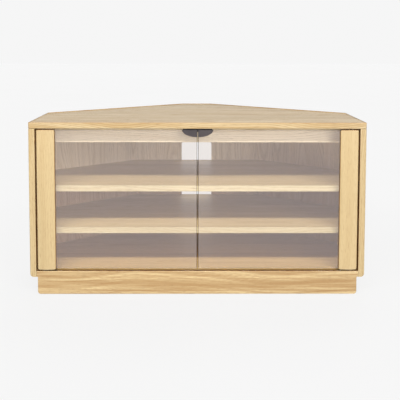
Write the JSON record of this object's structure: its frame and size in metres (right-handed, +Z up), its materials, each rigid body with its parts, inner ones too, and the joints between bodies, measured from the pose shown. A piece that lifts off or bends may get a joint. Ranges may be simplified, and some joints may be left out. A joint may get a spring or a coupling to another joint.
{
  "type": "corner tv cabinet",
  "caption": "Low oak corner tv cabinet with tinted glass doors on wooden hinge stiles, open shelves inside, a cable slot and a plinth.",
  "frame": {"origin": "on the floor, under the centre of the cabinet's bounding box", "axes": "+X to the right along the straight front, +Y to the back corner, +Z up; the doors face -Y"},
  "size_m": [1.1, 0.898, 0.567],
  "materials": {
    "oak": "oak with a clear satin lacquer",
    "inner_oak": "oak veneer, satin",
    "tinted_glass": "tinted toughened glass, polished edges",
    "black_metal": "black satin",
    "black_plastic": "matt black",
    "steel": "bright zinc",
    "nylon": "off-white nylon",
    "seal_rubber": "dark soft channel"
  },
  "bodies": {
    "carcase": {"top_panel": "oak", "side_panel_left": "oak", "side_panel_right": "oak", "front_base_board": "oak", "base_panel": "inner_oak", "top_rail": "inner_oak", "back_panel_left": "inner_oak", "back_panel_centre": "inner_oak", "back_panel_right": "inner_oak", "back_cleat_left": "inner_oak", "back_cleat_centre": "inner_oak", "back_cleat_right": "inner_oak", "plinth_side_left": "oak", "plinth_side_right": "oak", "plinth_back_left": "oak", "plinth_back_centre": "oak", "plinth_back_right": "oak", "plinth_block_front_left": "inner_oak", "plinth_block_front_right": "inner_oak", "plinth_block_middle_left": "inner_oak", "plinth_block_middle_right": "inner_oak", "plinth_block_rear_left": "inner_oak", "plinth_block_rear_right": "inner_oak", "lower_shelf": "oak", "upper_shelf": "oak", "lower_pin_front_left": "steel", "lower_pin_front_right": "steel", "lower_pin_middle_left": "steel", "lower_pin_middle_right": "steel", "lower_pin_rear_left": "steel", "lower_pin_rear_right": "steel", "upper_pin_front_left": "steel", "upper_pin_front_right": "steel", "upper_pin_middle_left": "steel", "upper_pin_middle_right": "steel", "upper_pin_rear_left": "steel", "upper_pin_rear_right": "steel", "pivot_plate_lower_left": "steel", "pivot_plate_lower_right": "steel", "pivot_plate_upper_left": "steel", "pivot_plate_upper_right": "steel", "latch_housing": "black_plastic", "latch_screw_left": "steel", "latch_screw_right": "steel"},
    "door_left": {"door_stile_left": "oak", "door_glass_left": "tinted_glass", "glass_seal_left": "seal_rubber", "strike_plate_left": "black_metal", "pivot_bush_lower_left": "nylon", "pivot_bush_upper_left": "nylon"},
    "door_right": {"door_stile_right": "oak", "door_glass_right": "tinted_glass", "glass_seal_right": "seal_rubber", "strike_plate_right": "black_metal", "pivot_bush_lower_right": "nylon", "pivot_bush_upper_right": "nylon"},
    "plunger_left": {"latch_plunger_left": "black_metal"},
    "plunger_right": {"latch_plunger_right": "black_metal"}
  },
  "joints": [
    {"name": "door_left_hinge", "type": "hinge", "parent": "carcase", "child": "door_left", "pos_m": [-0.505, -0.4375, 0.312], "axis": [0, 0, -1], "range_deg": [0, 110]},
    {"name": "door_right_hinge", "type": "hinge", "parent": "carcase", "child": "door_right", "pos_m": [0.505, -0.4375, 0.312], "axis": [0, 0, 1], "range_deg": [0, 110]},
    {"name": "plunger_left_slide", "type": "slide", "parent": "carcase", "child": "plunger_left", "axis": [0, 1, 0], "range_m": [0, 0.003], "stiffness_N_per_m": 400},
    {"name": "plunger_right_slide", "type": "slide", "parent": "carcase", "child": "plunger_right", "axis": [0, 1, 0], "range_m": [0, 0.003], "stiffness_N_per_m": 400}
  ]
}
